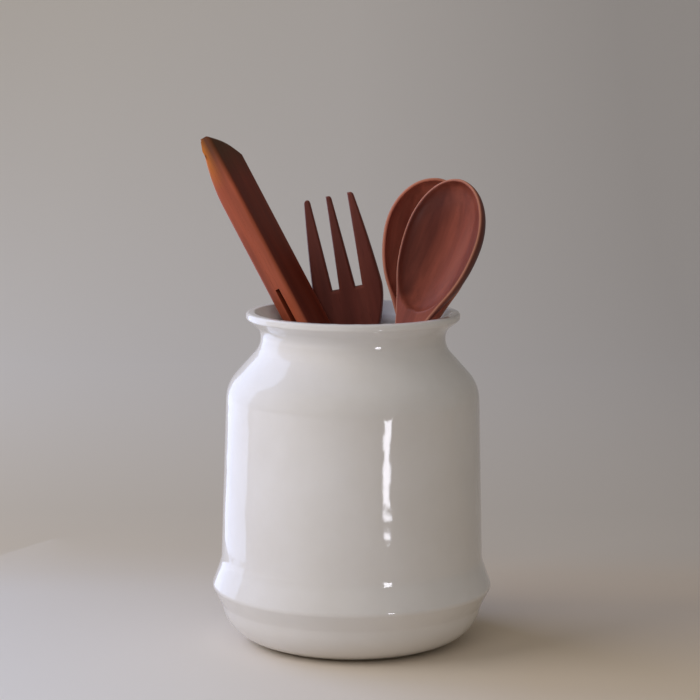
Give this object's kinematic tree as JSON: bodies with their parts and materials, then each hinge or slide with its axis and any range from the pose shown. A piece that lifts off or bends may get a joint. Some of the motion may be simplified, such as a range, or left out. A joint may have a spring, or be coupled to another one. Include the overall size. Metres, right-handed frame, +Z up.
{
  "type": "utensil holder",
  "caption": "Round white glazed jar with a ring near its foot, a narrow neck and a flared lip, holding wooden tongs, a fork and spoons that lift out.",
  "frame": {"origin": "centre of the foot ring's standing face, on the jar's axis", "axes": "+Z up along the jar's axis; -Y is the front, the side that the spoons' hollows face; +X to the right seen from the front"},
  "size_m": [0.1108, 0.1056, 0.1894],
  "materials": {
    "glaze": "white, glossy",
    "tongs_wood": "dark reddish brown, satin",
    "fork_wood": "very dark reddish brown, satin",
    "spoon_wood": "dark reddish brown, satin"
  },
  "bodies": {
    "jar": {"jar": "glaze"},
    "tongs": {"tongs_left_arm": "tongs_wood", "tongs_right_arm": "tongs_wood", "tongs_spacer": "tongs_wood"},
    "fork": {"fork": "fork_wood"},
    "front_spoon": {"front_spoon": "spoon_wood"},
    "rear_spoon": {"rear_spoon": "spoon_wood"}
  },
  "joints": [
    {"name": "tongs_lift", "type": "slide", "parent": "jar", "child": "tongs", "axis": [-0.4697, 0.1162, 0.8751], "range_m": [0, 0.14]},
    {"name": "fork_lift", "type": "slide", "parent": "jar", "child": "fork", "axis": [-0.2017, 0.015, 0.9793], "range_m": [0, 0.14]},
    {"name": "front_spoon_lift", "type": "slide", "parent": "jar", "child": "front_spoon", "axis": [0.3465, 0.0901, 0.9337], "range_m": [0, 0.14]},
    {"name": "rear_spoon_lift", "type": "slide", "parent": "jar", "child": "rear_spoon", "axis": [0.1575, 0.1434, 0.9771], "range_m": [0, 0.14]}
  ]
}
